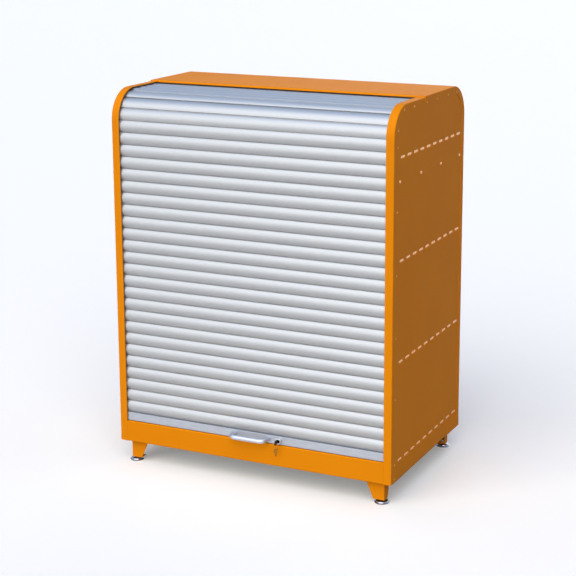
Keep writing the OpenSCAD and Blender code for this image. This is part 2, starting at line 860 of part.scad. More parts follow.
left_side_panel();
right_side_panel();
left_guide_track();
right_guide_track();
left_inner_liner();
right_inner_liner();
left_slot_rails();
right_slot_rails();
top_cover();
back_panel();
rear_corner_plates();
inner_back_wall();
inner_ceiling();
front_plinth();
lock_keeper();
floor_pan();
sump_tray();
lower_shelf();
middle_shelf();
upper_shelf();
shelf_brackets();
front_left_leg();
front_right_leg();
rear_left_leg();
rear_right_leg();
leg_nuts();
side_rivets();
cover_rivets();
shelf_screws();
brush_seal();
bend_slats();
top_slats();
bottom_rail();
rail_seal();
rail_glides();
lead_slat();
front_slats();
pull_handle();
handle_screws();
lock_housing();
lock_plug();
lock_cam();
key();
key_ring();
spare_key();
front_left_foot();
front_right_foot();
rear_left_foot();
rear_right_foot();
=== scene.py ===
import math

import bmesh
import bpy
from mathutils import Matrix, Vector


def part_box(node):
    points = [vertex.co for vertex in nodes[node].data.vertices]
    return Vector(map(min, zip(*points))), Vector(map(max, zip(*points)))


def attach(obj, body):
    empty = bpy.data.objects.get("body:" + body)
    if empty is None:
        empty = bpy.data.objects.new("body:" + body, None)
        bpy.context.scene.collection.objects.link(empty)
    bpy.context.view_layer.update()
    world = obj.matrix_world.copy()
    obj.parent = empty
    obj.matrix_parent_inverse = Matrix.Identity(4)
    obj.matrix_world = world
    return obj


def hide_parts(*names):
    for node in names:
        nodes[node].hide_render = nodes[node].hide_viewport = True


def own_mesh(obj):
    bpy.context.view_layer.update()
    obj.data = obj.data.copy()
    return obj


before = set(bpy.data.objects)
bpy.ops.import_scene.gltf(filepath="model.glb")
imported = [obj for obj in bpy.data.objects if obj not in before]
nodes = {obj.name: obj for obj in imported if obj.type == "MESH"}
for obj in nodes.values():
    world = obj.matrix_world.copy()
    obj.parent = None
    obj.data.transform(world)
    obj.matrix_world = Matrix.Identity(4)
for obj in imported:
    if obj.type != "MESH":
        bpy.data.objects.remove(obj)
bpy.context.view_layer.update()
mm = 0.001
sides = (-1, 1)
quarterTurn = math.pi / 2
latheWeld = 0.002 * mm
sheetWeld = 0.01 * mm
print("frame loaded:", len(nodes), "parts")


# small helpers for nodes and materials

def hexColour(code):
    channels = [int(code[i:i + 2], 16) / 255 for i in (1, 3, 5)]
    return [c / 12.92 if c <= 0.04045 else ((c + 0.055) / 1.055) ** 2.4 for c in channels] + [1.0]


def addNode(tree, kind, settings=None, links=None):
    node = tree.nodes.new(kind)
    for name, value in (settings or {}).items():
        setattr(node, name, value)
    for name, value in (links or {}).items():
        if isinstance(value, bpy.types.NodeSocket):
            tree.links.new(value, node.inputs[name])
        else:
            node.inputs[name].default_value = value
    return node


def newMaterial(name, colour, metallic, roughness):
    material = bpy.data.materials.new(name)
    material.use_nodes = True
    tree = material.node_tree
    shader = tree.nodes["Principled BSDF"]
    shader.inputs["Base Color"].default_value = hexColour(colour)
    shader.inputs["Metallic"].default_value = metallic
    shader.inputs["Roughness"].default_value = roughness
    return material, tree, shader, addNode(tree, "ShaderNodeTexCoord").outputs["Object"]


def perMetre(sizeMm):
    return 1000 / sizeMm  # a texture's scale for features of this size


def stretched(tree, coords, x, y, z):
    mapping = addNode(tree, "ShaderNodeMapping", None, {"Vector": coords, "Scale": (x, y, z)})
    return mapping.outputs["Vector"]


def tintedBy(tree, shader, factor, low, high, into="Base Color"):
    mix = addNode(tree, "ShaderNodeMix", {"data_type": "RGBA"}, {"Factor": factor})
    mix.inputs["A"].default_value = hexColour(low)
    mix.inputs["B"].default_value = hexColour(high)
    tree.links.new(mix.outputs["Result"], shader.inputs[into])


def roughnessBy(tree, shader, factor, low, high):
    spread = addNode(tree, "ShaderNodeMapRange", None, {"Value": factor, "To Min": low, "To Max": high})
    tree.links.new(spread.outputs["Result"], shader.inputs["Roughness"])


def bumpBy(tree, shader, height, depthMm, strength):
    bump = addNode(tree, "ShaderNodeBump", None,
                   {"Height": height, "Distance": depthMm * mm, "Strength": strength})
    tree.links.new(bump.outputs["Normal"], shader.inputs["Normal"])


# materials

def powderCoat(name, dark, light):
    # sprayed and baked polyester on sheet steel: an even satin colour with a fine pebbled skin
    # the pebbles are drawn coarser than they are, so that they show
    paint = dict(pebbleMm=2.2, cloudMm=260, roughLow=0.5, roughHigh=0.62, bumpMm=0.06, bump=0.5,
                 gloss=0.06)
    material, tree, shader, coords = newMaterial(name, light, 0.0, 0.56)
    shader.inputs["Specular IOR Level"].default_value = paint["gloss"]
    pebble = addNode(tree, "ShaderNodeTexNoise", None,
                     {"Vector": coords, "Scale": perMetre(paint["pebbleMm"]), "Detail": 2.0})
    cloud = addNode(tree, "ShaderNodeTexNoise", None,
                    {"Vector": coords, "Scale": perMetre(paint["cloudMm"]), "Detail": 3.0})
    tintedBy(tree, shader, cloud.outputs["Fac"], dark, light)
    roughnessBy(tree, shader, pebble.outputs["Fac"], paint["roughLow"], paint["roughHigh"])
    bumpBy(tree, shader, pebble.outputs["Fac"], paint["bumpMm"], paint["bump"])
    return material


def zincPlate():
    # galvanised strip: a grey metal whose crystals catch the light one by one
    strip = dict(spangleMm=9, roughLow=0.28, roughHigh=0.46, dull="#c2c6cb", bright="#dcdee0")
    material, tree, shader, coords = newMaterial("zincPlate", "#cdd0d4", 1.0, 0.36)
    spangle = addNode(tree, "ShaderNodeTexVoronoi", None,
                      {"Vector": coords, "Scale": perMetre(strip["spangleMm"])})
    grain = addNode(tree, "ShaderNodeSeparateColor", None, {"Color": spangle.outputs["Color"]})
    tintedBy(tree, shader, grain.outputs["Red"], strip["dull"], strip["bright"])
    roughnessBy(tree, shader, grain.outputs["Green"], strip["roughLow"], strip["roughHigh"])
    return material


def anodisedAluminium():
    # roll-formed slat, silver anodised: satin metal, a soft sheen and faint lines along its length
    anodised = dict(lineMm=1.6, lengthMm=420, roughLow=0.5, roughHigh=0.58, bumpMm=0.02, bump=0.25,
                    dull="#a8a8a8", bright="#b4b4b4")
    material, tree, shader, coords = newMaterial("anodisedAluminium", "#aeaeae", 1.0, 0.54)
    along = stretched(tree, coords, anodised["lineMm"] / anodised["lengthMm"], 1, 1)
    lines = addNode(tree, "ShaderNodeTexNoise", None,
                    {"Vector": along, "Scale": perMetre(anodised["lineMm"]), "Detail": 3.0})
    tintedBy(tree, shader, lines.outputs["Fac"], anodised["dull"], anodised["bright"])
    roughnessBy(tree, shader, lines.outputs["Fac"], anodised["roughLow"], anodised["roughHigh"])
    bumpBy(tree, shader, lines.outputs["Fac"], anodised["bumpMm"], anodised["bump"])
    return material


def millAluminium():
    # mill-finish extrusion of the bottom rail: duller than the slats, with a short grain
    mill = dict(grainMm=1.8, lengthMm=24, roughLow=0.42, roughHigh=0.6, bumpMm=0.03, bump=0.4,
                dull="#999da5", bright="#bfc3c9")
    material, tree, shader, coords = newMaterial("millAluminium", "#aeb2b9", 1.0, 0.5)
    along = stretched(tree, coords, mill["grainMm"] / mill["lengthMm"], 1, 1)
    grain = addNode(tree, "ShaderNodeTexNoise", None,
                    {"Vector": along, "Scale": perMetre(mill["grainMm"]), "Detail": 4.0})
    tintedBy(tree, shader, grain.outputs["Fac"], mill["dull"], mill["bright"])
    roughnessBy(tree, shader, grain.outputs["Fac"], mill["roughLow"], mill["roughHigh"])
    bumpBy(tree, shader, grain.outputs["Fac"], mill["bumpMm"], mill["bump"])
    return material


def satinAluminium():
    # tumbled and anodised handle: pale, soft highlights and a very fine grain
    satin = dict(grainMm=1.2, roughLow=0.42, roughHigh=0.52, bumpMm=0.01, bump=0.3)
    material, tree, shader, coords = newMaterial("satinAluminium", "#bcbec8", 1.0, 0.46)
    grain = addNode(tree, "ShaderNodeTexNoise", None,
                    {"Vector": coords, "Scale": perMetre(satin["grainMm"]), "Detail": 2.0})
    roughnessBy(tree, shader, grain.outputs["Fac"], satin["roughLow"], satin["roughHigh"])
    bumpBy(tree, shader, grain.outputs["Fac"], satin["bumpMm"], satin["bump"])
    return material


def platedMetal(name, colour, roughLow, roughHigh):
    # polished and plated: mirror-like, dulled in soft patches by handling
    plating = dict(patchMm=14)
    material, tree, shader, coords = newMaterial(name, colour, 1.0, roughLow)
    patch = addNode(tree, "ShaderNodeTexNoise", None,
                    {"Vector": coords, "Scale": perMetre(plating["patchMm"]), "Detail": 2.0})
    roughnessBy(tree, shader, patch.outputs["Fac"], roughLow, roughHigh)
    return material


def wornBrass(name, hollow, rubbed):
    # stamped brass key, its nickel worn through: brown in the hollows, yellow where it is rubbed
    worn = dict(patchMm=4, roughLow=0.28, roughHigh=0.5)
    material, tree, shader, coords = newMaterial(name, rubbed, 1.0, 0.36)
    wear = addNode(tree, "ShaderNodeTexNoise", None,
                   {"Vector": coords, "Scale": perMetre(worn["patchMm"]), "Detail": 4.0})
    tintedBy(tree, shader, wear.outputs["Fac"], hollow, rubbed)
    roughnessBy(tree, shader, wear.outputs["Fac"], worn["roughLow"], worn["roughHigh"])
    return material


def blackMoulding(name, colour, grainMm, roughness):
    # moulded black seal or glide: matt, with a fine even grain
    moulded = dict(roughSpread=0.1, bumpMm=0.05, bump=0.5)
    material, tree, shader, coords = newMaterial(name, colour, 0.0, roughness)
    grain = addNode(tree, "ShaderNodeTexNoise", None, {"Vector": coords, "Scale": perMetre(grainMm)})
    spread = moulded["roughSpread"]
    roughnessBy(tree, shader, grain.outputs["Fac"], roughness - spread, roughness + spread)
    bumpBy(tree, shader, grain.outputs["Fac"], moulded["bumpMm"], moulded["bump"])
    return material


orangePaint = powderCoat("orangePowderCoat", "#df8106", "#e98c08")
# the rivets take the casing's orange made lighter: a painted highlight on their small domes
rivetPaintPaintedHighlight = powderCoat("rivetPaintPaintedHighlight", "#f4b65c", "#f9c26c")
greyPaint = powderCoat("greyPowderCoat", "#cfd0cd", "#dadbd8")
zinc = zincPlate()
slatMetal = anodisedAluminium()
railMetal = millAluminium()
handleMetal = satinAluminium()
chrome = platedMetal("chromePlate", "#a4a6ac", 0.06, 0.14)
nickel = platedMetal("nickelPlate", "#cbcbcd", 0.2, 0.32)
plugMetal = platedMetal("blackedSteel", "#2c2c2f", 0.2, 0.35)
steelScrew = platedMetal("yellowZincScrew", "#e2b682", 0.18, 0.3)
brass = wornBrass("wornBrass", "#7a4d14", "#cf9838")
bronze = wornBrass("darkenedBrass", "#2a2219", "#5a4730")
# plated metal for the slot rails; its warm tan is a painted reflection of the orange casing around them
tinPlatePaintedOrangeReflection = platedMetal("tinPlatePaintedOrangeReflection", "#dcaa72", 0.14, 0.24)
rubber = blackMoulding("blackRubber", "#17171a", 1.5, 0.7)
nylon = blackMoulding("blackNylon", "#1c1c1f", 3.0, 0.45)
bristle = blackMoulding("brushBristle", "#121214", 0.8, 0.8)
print("materials made")


# mesh helpers

def addLoop(bm, points, closed=True):
    verts = [bm.verts.new(p) for p in points]
    pairs = zip(verts, verts[1:] + verts[:1]) if closed else zip(verts, verts[1:])
    return [bm.edges.new(pair) for pair in pairs]


def addBox(bm, low, high):
    size = Matrix.Diagonal((high[0] - low[0], high[1] - low[1], high[2] - low[2], 1))
    middle = Matrix.Translation([(a + b) / 2 for a, b in zip(low, high)])
    return bmesh.ops.create_cube(bm, size=1, matrix=middle @ size)["verts"]


def only(kind, geom):
    return [g for g in geom if isinstance(g, kind)]


def growFaces(bm, faces, move):
    grown = bmesh.ops.extrude_face_region(bm, geom=faces)["geom"]
    bmesh.ops.translate(bm, verts=only(bmesh.types.BMVert, grown), vec=move)


def extrudeLoop(bm, points, move):
    edges = addLoop(bm, points)
    face = bmesh.ops.edgeloop_fill(bm, edges=edges)["faces"]
    growFaces(bm, face, move)


def punchedSheet(bm, outline, holes, thickness):
    edges = addLoop(bm, outline)
    for hole in holes:
        edges += addLoop(bm, hole)
    filled = bmesh.ops.triangle_fill(bm, use_beauty=True, use_dissolve=False, edges=edges)["geom"]
    growFaces(bm, only(bmesh.types.BMFace, filled), thickness)


def growEdges(bm, edges, move):
    grown = bmesh.ops.extrude_edge_only(bm, edges=edges)["geom"]
    bmesh.ops.translate(bm, verts=only(bmesh.types.BMVert, grown), vec=move)
    return only(bmesh.types.BMEdge, grown)


def turnEdges(bm, edges, centre, axis, angle, steps, closed=False):
    verts = list({v for e in edges for v in e.verts})
    turned = bmesh.ops.spin(bm, geom=verts + list(edges), cent=centre, axis=axis, angle=angle,
                            steps=steps, use_merge=closed, use_duplicate=False)["geom_last"]
    return only(bmesh.types.BMEdge, turned)


def lathe(bm, profile, centre, axis, steps=40, closed=False):
    axis = Vector(axis)
    out = axis.orthogonal().normalized()
    points = [Vector(centre) + out * (r * mm) + axis * (h * mm) for r, h in profile]
    before = set(bm.verts)
    turnEdges(bm, addLoop(bm, points, closed), centre, axis, 2 * math.pi, steps, True)
    bmesh.ops.remove_doubles(bm, verts=[v for v in bm.verts if v not in before], dist=latheWeld)


def arcPoints(centre, radius, start, end, steps):
    angles = [math.radians(start + (end - start) * i / steps) for i in range(steps + 1)]
    return [(centre[0] + radius * math.cos(a), centre[1] + radius * math.sin(a)) for a in angles]


def circlePoints(centre, radius, steps):
    return arcPoints(centre, radius, 0, 360 - 360 / steps, steps - 1)


def bevelEdges(bm, edges, radius, segments):
    bmesh.ops.recalc_face_normals(bm, faces=bm.faces)
    bmesh.ops.bevel(bm, geom=edges, offset=radius, segments=segments, profile=0.5,
                    affect="EDGES", material=-1, clamp_overlap=True)


def makePiece(name, bm, material, body, replaced, sharpDeg=12, wall=None, inside=None):
    bmesh.ops.recalc_face_normals(bm, faces=bm.faces)
    if inside:
        faces = [f for f in bm.faces if f.normal.dot(f.calc_center_median() - Vector(inside)) < 0]
        bmesh.ops.reverse_faces(bm, faces=faces)
    mesh = bpy.data.meshes.new(name)
    bm.to_mesh(mesh)
    bm.free()
    piece = bpy.data.objects.new(name, mesh)
    bpy.context.scene.collection.objects.link(piece)
    if wall:
        solid = piece.modifiers.new("wall", "SOLIDIFY")
        solid.thickness = wall
        solid.offset = -1
        solid.use_even_offset = True
        solved = piece.evaluated_get(bpy.context.evaluated_depsgraph_get())
        piece.data = bpy.data.meshes.new_from_object(solved)
        piece.modifiers.clear()
    piece.data.shade_smooth()
    piece.data.set_sharp_from_angle(angle=math.radians(sharpDeg))
    # flat sheet shades flat right up to its folds
    even = piece.modifiers.new("even", "WEIGHTED_NORMAL")
    even.keep_sharp = True
    piece.data.materials.append(material)
    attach(piece, body)
    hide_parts(*replaced)
    return piece


# casing, with its planes read from the parts
casing = dict(cornerMm=100, sheetMm=1.5, bendMm=3, bandMm=27, flangeMm=25, cornerSteps=28, bendSteps=5)
cornerR = casing["cornerMm"] * mm
sheet = casing["sheetMm"] * mm
sideLow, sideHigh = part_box("right_side_panel")
coverLow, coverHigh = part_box("top_cover")
backLow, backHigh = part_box("back_panel")
sideX = sideHigh.x
frontY, sideRearY = sideLow.y, sideHigh.y
casingZ, sideTopZ = sideLow.z, sideHigh.z
bendZ = sideTopZ - cornerR
frontBendY, rearBendY = frontY + cornerR, sideRearY - cornerR
bandX = sideX - casing["bandMm"] * mm
backY, topZ = backHigh.y, coverHigh.z

slots = dict(rows=4, perRow=10, lengthMm=40, heightMm=9, pitchMm=55, shiftMm=13, lowMm=64, riseMm=326,
             endSteps=6)


def slotOutline(x, y, z):
    r = slots["heightMm"] / 2 * mm
    half = slots["lengthMm"] / 2 * mm - r
    ends = arcPoints((y + half, z), r, -90, 90, slots["endSteps"])
    ends += arcPoints((y - half, z), r, 90, 270, slots["endSteps"])
    return [(x, a, b) for a, b in ends]


def edgeSection():
    # the panel's folded edge, as distances in from the side and in from the edge
    bend, band = casing["bendMm"] * mm, casing["bandMm"] * mm
    outer = arcPoints((bend, bend), bend, 270, 180, casing["bendSteps"])
    inner = arcPoints((bend, bend), bend - sheet, 180, 270, casing["bendSteps"])
    return [(band, 0)] + outer + [(0, 2 * bend), (sheet, 2 * bend)] + inner + [(band, sheet)]


def sidePanel(side, name, replaced):
    bm = bmesh.new()
    ring = addLoop(bm, [(side * (sideX - w), frontY + u, casingZ) for w, u in edgeSection()])
    bmesh.ops.edgeloop_fill(bm, edges=ring)
    ring = growEdges(bm, ring, (0, 0, bendZ - casingZ))
    ring = turnEdges(bm, ring, (0, frontBendY, bendZ), (-1, 0, 0), quarterTurn, casing["cornerSteps"])
    ring = growEdges(bm, ring, (0, rearBendY - frontBendY, 0))
    ring = turnEdges(bm, ring, (0, rearBendY, bendZ), (-1, 0, 0), quarterTurn, casing["cornerSteps"])
    ring = growEdges(bm, ring, (0, 0, casingZ - bendZ))
    bmesh.ops.edgeloop_fill(bm, edges=ring)
    inset = 2 * casing["bendMm"] * mm
    r = cornerR - inset
    outline = [(frontY + inset, casingZ)]
    outline += arcPoints((frontBendY, bendZ), r, 180, 90, casing["cornerSteps"])
    outline += arcPoints((rearBendY, bendZ), r, 90, 0, casing["cornerSteps"])
    outline += [(sideRearY - inset, casingZ)]
    x = side * sideX
    holes = []
    for row in range(slots["rows"]):
        z = casingZ + (slots["lowMm"] + row * slots["riseMm"]) * mm
        for i in range(slots["perRow"]):
            along = (i - (slots["perRow"] - 1) / 2) * slots["pitchMm"] + slots["shiftMm"]
            holes.append(slotOutline(x, (frontY + sideRearY) / 2 + along * mm, z))
    punchedSheet(bm, [(x, y, z) for y, z in outline], holes, (-side * sheet, 0, 0))
    # the strip folded in along the panel's foot
    inner = side * bandX
    stripLow = (min(x, inner), frontY + inset, casingZ)
    stripHigh = (max(x, inner), sideRearY - inset, casingZ + sheet)
    addBox(bm, stripLow, stripHigh)
    return makePiece(name, bm, orangePaint, "cabinet", [replaced])


sidePanel(-1, "leftSidePanel", "left_side_panel")
sidePanel(1, "rightSidePanel", "right_side_panel")
print("side panels made")

cover = dict(foldMm=2.2, foldSegments=3, foldFromRad=1.2, lipFoldMm=0.8, lipSteps=4, lipLowMm=2.4,
             lipEndMm=1.5, plateGapMm=0.5)


def topCover():
    bm = bmesh.new()
    halfW = coverHigh.x
    reach = topZ - bendZ
    inner = reach - casing["flangeMm"] * mm
    steps = casing["cornerSteps"]
    frontEdge = coverLow.y + sheet
    outline = [(frontEdge, topZ)] + arcPoints((rearBendY, bendZ), reach, 90, 0, steps)
    rim = [(frontEdge, bendZ + inner)] + arcPoints((rearBendY, bendZ), inner, 90, 0, steps)
    chain = addLoop(bm, [(-halfW, y, z) for y, z in outline], closed=False)
    growEdges(bm, chain, (2 * halfW, 0, 0))
    for side in sides:
        outer = addLoop(bm, [(side * halfW, y, z) for y, z in outline], closed=False)
        low = addLoop(bm, [(side * halfW, y, z) for y, z in rim], closed=False)
        bmesh.ops.bridge_loops(bm, edges=outer + low)
    bmesh.ops.remove_doubles(bm, verts=bm.verts, dist=sheetWeld)
    folds = [e for e in bm.edges if len(e.link_faces) == 2 and e.calc_face_angle() > cover["foldFromRad"]]
    bevelEdges(bm, folds, cover["foldMm"] * mm, cover["foldSegments"])
    return makePiece("topCover", bm, orangePaint, "cabinet", ["top_cover"], wall=sheet,
                     inside=(0, rearBendY, bendZ))


def coverLip():
    bm = bmesh.new()
    y = coverLow.y
    fold = cover["lipFoldMm"] * mm
    rounded = arcPoints((y + fold, topZ - fold), fold, 180, 90, cover["lipSteps"])
    section = [(y + sheet, sideTopZ), (y, sideTopZ)] + rounded + [(y + sheet, topZ)]
    extrudeLoop(bm, [(-coverHigh.x, a, b) for a, b in section], (2 * coverHigh.x, 0, 0))
    halfW = bandX - cover["lipEndMm"] * mm
    addBox(bm, (-halfW, y, sideTopZ - cover["lipLowMm"] * mm), (halfW, y + sheet, sideTopZ))
    return makePiece("coverLip", bm, orangePaint, "cabinet", ["top_cover"])


topCover()
coverLip()


def backPanel():
    bm = bmesh.new()
    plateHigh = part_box("rear_corner_plates")[1].z
    flangeLow = plateHigh + cover["plateGapMm"] * mm
    flange = casing["flangeMm"] * mm
    halfW = backHigh.x
    addBox(bm, (-halfW, backY - flange, flangeLow), (halfW, backY, bendZ))
    middle = [f for f in bm.faces if f.normal.y < -0.5 or abs(f.normal.z) > 0.5]
    bmesh.ops.delete(bm, geom=middle, context="FACES")
    folds = [e for e in bm.edges if len(e.link_faces) == 2]
    bevelEdges(bm, folds, cover["foldMm"] * mm, cover["foldSegments"])
    low = addLoop(bm, [(-halfW, backY, casingZ), (halfW, backY, casingZ)], closed=False)
    growEdges(bm, low, (0, 0, flangeLow - casingZ))
    return makePiece("backPanel", bm, orangePaint, "cabinet", ["back_panel"], wall=sheet,
                     inside=(0, backY - flange, bendZ / 2))


backPanel()
print("cover and back made")


# slats: the same chain of joints as in the parts, from the bottom rail up and over the bend
slat = dict(pitchMm=40, bulgeMm=6.5, wallMm=1.4, beadMm=2.6, hookMm=3.0, hookWallMm=1.4, recessMm=5,
            seamMm=0.6, liftMm=0.2, biteMm=0.1, neckMm=1.6, neckTopMm=1.3, neckLowMm=5.0, neckBackMm=4.7,
            armMm=((-2.7, -3.4), (-4.2, -2.0), (-3.0, -0.6)), hookFromDeg=230, hookToDeg=-40,
            front=25, bend=4, top=6, faceSteps=22, hookSteps=14, beadSteps=12)
hookOut = slat["hookMm"] + slat["hookWallMm"]
slatChord = slat["pitchMm"] - 2 * slat["seamMm"]
crownR = (slatChord ** 2 / 4 + slat["bulgeMm"] ** 2) / (2 * slat["bulgeMm"])
crownOut = hookOut - slat["wallMm"] + slat["bulgeMm"] - slat["biteMm"]
jointIn = slat["recessMm"] + crownOut
railLow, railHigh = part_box("bottom_rail")
slatX = railHigh.x
firstJointZ = railHigh.z / mm - slat["beadMm"]
straightMm = bendZ / mm - firstJointZ
jointR = casing["cornerMm"] - jointIn
jointTurn = 2 * math.asin(slat["pitchMm"] / 2 / jointR)
bendMm = quarterTurn / jointTurn * slat["pitchMm"]


def jointAt(s):
    if s <= straightMm:
        return Vector((frontY / mm + jointIn, firstJointZ + s))
    if s <= straightMm + bendMm:
        a = (s - straightMm) / slat["pitchMm"] * jointTurn
        return Vector((frontBendY / mm - jointR * math.cos(a), bendZ / mm + jointR * math.sin(a)))
    return Vector((frontBendY / mm + s - straightMm - bendMm, sideTopZ / mm - jointIn))


def slatSections():
    # face, hook, neck and bead in millimetres, front towards -y, the lower joint at the origin
    low = slat["liftMm"] - hookOut
    middle = (crownR - crownOut, low + slatChord / 2)
    spread = math.degrees(math.asin(slatChord / 2 / crownR))
    innerR = crownR - slat["wallMm"]
    innerSpread = math.degrees(math.asin(slatChord / 2 / innerR))
    face = arcPoints(middle, crownR, 180 + spread, 180 - spread, slat["faceSteps"])
    face += arcPoints(middle, innerR, 180 - innerSpread, 180 + innerSpread, slat["faceSteps"])
    start, end = slat["hookFromDeg"], slat["hookToDeg"]
    hook = arcPoints((0, 0), hookOut, start, end, slat["hookSteps"])
    hook += arcPoints((0, 0), slat["hookMm"], end, start, slat["hookSteps"])
    # the neck goes down from the bead and its arm reaches forward to the face's top edge
    joint, half = slat["pitchMm"], slat["neckMm"] / 2
    neckTop = joint - slat["neckTopMm"]
    neck = [(-half, neckTop), (half, neckTop), (half, joint - slat["neckLowMm"])]
    neck += [(y, low + slatChord + z) for y, z in slat["armMm"]]
    neck += [(-half, joint - slat["neckBackMm"])]
    bead = circlePoints((0, joint), slat["beadMm"], slat["beadSteps"])
    return [face, hook, neck, bead]


def addSlat(bm, i):
    low, high = jointAt(i * slat["pitchMm"]), jointAt((i + 1) * slat["pitchMm"])
    lean = (high - low).normalized()
    for section in slatSections():
        places = [low + Vector((lean.y, -lean.x)) * y + lean * z for y, z in section]
        extrudeLoop(bm, [(-slatX, p.x * mm, p.y * mm) for p in places], (2 * slatX, 0, 0))


def slatRun(name, first, count, body, replaced):
    bm = bmesh.new()
    for i in range(first, first + count):
        addSlat(bm, i)
    return makePiece(name, bm, slatMetal, body, [replaced], sharpDeg=25)


slatRun("leadSlat", 0, 1, "shutter", "lead_slat")
frontSlats = slatRun("frontSlats", 1, slat["front"] - 1, "shutter", "front_slats")
slatRun("bendSlats", slat["front"], slat["bend"], "cabinet", "bend_slats")
slatRun("topSlats", slat["front"] + slat["bend"], slat["top"], "cabinet", "top_slats")
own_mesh(frontSlats)
print("slats made")


# plinth and bottom rail
plinthLow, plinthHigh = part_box("front_plinth")
plinth = dict(foldMm=2.2, foldSegments=3, returnMm=20, keeperRimMm=10, keeperEdgeMm=3, keeperSlotMm=6)


def cutFaces(bm, faces, place, normal):
    edges = {e for f in faces for e in f.edges}
    verts = {v for f in faces for v in f.verts}
    bmesh.ops.bisect_plane(bm, geom=[*faces, *edges, *verts], plane_co=place, plane_no=normal)


def frontPlinth():
    bm = bmesh.new()
    addBox(bm, plinthLow, plinthHigh)
    away = [f for f in bm.faces if f.normal.y > 0.5 or abs(f.normal.x) > 0.5]
    bmesh.ops.delete(bm, geom=away, context="FACES")
    middleZ = (plinthLow.z + plinthHigh.z) / 2
    returnY = plinthLow.y + plinth["returnMm"] * mm
    under = [v for v in bm.verts if v.co.y > plinthLow.y + sheet and v.co.z < middleZ]
    bmesh.ops.translate(bm, verts=under, vec=(0, returnY - plinthHigh.y, 0))
    folds = [e for e in bm.edges if len(e.link_faces) == 2]
    bevelEdges(bm, folds, plinth["foldMm"] * mm, plinth["foldSegments"])
    # the top stops short of the liners and has the slot that the lock's cam turns into
    keeperLow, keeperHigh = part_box("lock_keeper")
    rim = plinth["keeperRimMm"] * mm
    slotLow, slotHigh = keeperLow.x + rim, keeperHigh.x - rim
    slotBack = keeperHigh.y - plinth["keeperEdgeMm"] * mm
    slotFront = slotBack - plinth["keeperSlotMm"] * mm
    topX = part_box("sump_tray")[1].x
    topFrom = plinthHigh.z - sheet / 4
    across, inwards = Vector((1, 0, 0)), Vector((0, 1, 0))
    cuts = [(slotLow, across), (slotHigh, across), (slotFront, inwards), (slotBack, inwards),
            (-topX, across), (topX, across)]
    for place, normal in cuts:
        top = [f for f in bm.faces if f.calc_center_median().z > topFrom]
        cutFaces(bm, top, normal * place, normal)
    gone = []
    for f in bm.faces:
        c = f.calc_center_median()
        inSlot = slotLow < c.x < slotHigh and slotFront < c.y < slotBack
        if c.z > topFrom and (inSlot or abs(c.x) > topX):
            gone.append(f)
    bmesh.ops.delete(bm, geom=gone, context="FACES")
    return makePiece("frontPlinth", bm, orangePaint, "cabinet", ["front_plinth"],
                     wall=sheet, inside=(0, returnY, middleZ))


frontPlinth()

rail = dict(wallMm=2.5, edgeMm=0.8, edgeSteps=3, highMm=28, webMm=1.6)


def bottomRail():
    bm = bmesh.new()
    wall = rail["wallMm"] * mm
    back = frontY + (jointIn + hookOut) * mm
    top = railLow.z + rail["highMm"] * mm
    edge, steps = rail["edgeMm"] * mm, rail["edgeSteps"]
    loop = arcPoints((railLow.y + edge, railLow.z + edge), edge, 270, 180, steps)
    loop += arcPoints((railLow.y + edge, top - edge), edge, 180, 90, steps)
    loop += [(back, top), (back, top - wall), (railLow.y + wall, top - wall),
             (railLow.y + wall, railLow.z + wall), (back, railLow.z + wall), (back, railLow.z)]
    extrudeLoop(bm, [(-slatX, y, z) for y, z in loop], (2 * slatX, 0, 0))
    # the web on top carries the bead that the lead slat hooks on to
    joint, web = jointAt(0) * mm, rail["webMm"] / 2 * mm
    addBox(bm, (-slatX, joint.x - web, top - wall), (slatX, joint.x + web, joint.y))
    bead = circlePoints((joint.x, joint.y), slat["beadMm"] * mm, slat["beadSteps"])
    extrudeLoop(bm, [(-slatX, y, z) for y, z in bead], (2 * slatX, 0, 0))
    return makePiece("bottomRail", bm, railMetal, "shutter", ["bottom_rail"],
                     sharpDeg=25)


bottomRail()
print("plinth and rail made")


# handle, a bent rod between its two legs
handleLow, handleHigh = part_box("pull_handle")
handle = dict(bendMm=18, ringSteps=28, bendSteps=14)


def pullHandle():
    bm = bmesh.new()
    r, bend = (handleHigh.z - handleLow.z) / 2, handle["bendMm"] * mm
    z = (handleLow.z + handleHigh.z) / 2
    legX = handleHigh.x - r
    barY = handleLow.y + r
    bendY, barHalf = barY + bend, legX - bend
    circle = circlePoints((legX, z), r, handle["ringSteps"])
    ring = addLoop(bm, [(x, handleHigh.y, h) for x, h in circle])
    bmesh.ops.edgeloop_fill(bm, edges=ring)
    ring = growEdges(bm, ring, (0, bendY - handleHigh.y, 0))
    ring = turnEdges(bm, ring, (barHalf, bendY, z), (0, 0, -1), quarterTurn, handle["bendSteps"])
    ring = growEdges(bm, ring, (-2 * barHalf, 0, 0))
    ring = turnEdges(bm, ring, (-barHalf, bendY, z), (0, 0, -1), quarterTurn, handle["bendSteps"])
    ring = growEdges(bm, ring, (0, handleHigh.y - bendY, 0))
    bmesh.ops.edgeloop_fill(bm, edges=ring)
    return makePiece("pullHandle", bm, handleMetal, "shutter", ["pull_handle"],
                     sharpDeg=40)


pullHandle()
print("handle made")


# lock barrel with a rounded rim, the key in it and the ring with the spare key
barrelLow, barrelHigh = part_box("lock_housing")
lockX = (barrelLow.x + barrelHigh.x) / 2
lockZ = (barrelLow.z + barrelHigh.z) / 2
lock = dict(barrelMm=10, barrelLengthMm=12, bodyMm=9, plugMm=6.05, rimMm=1.2, seatMm=0.8, mouthMm=0.4,
            mouthDeepMm=0.2, rimTurns=(0.5, 1.0, quarterTurn), steps=48)


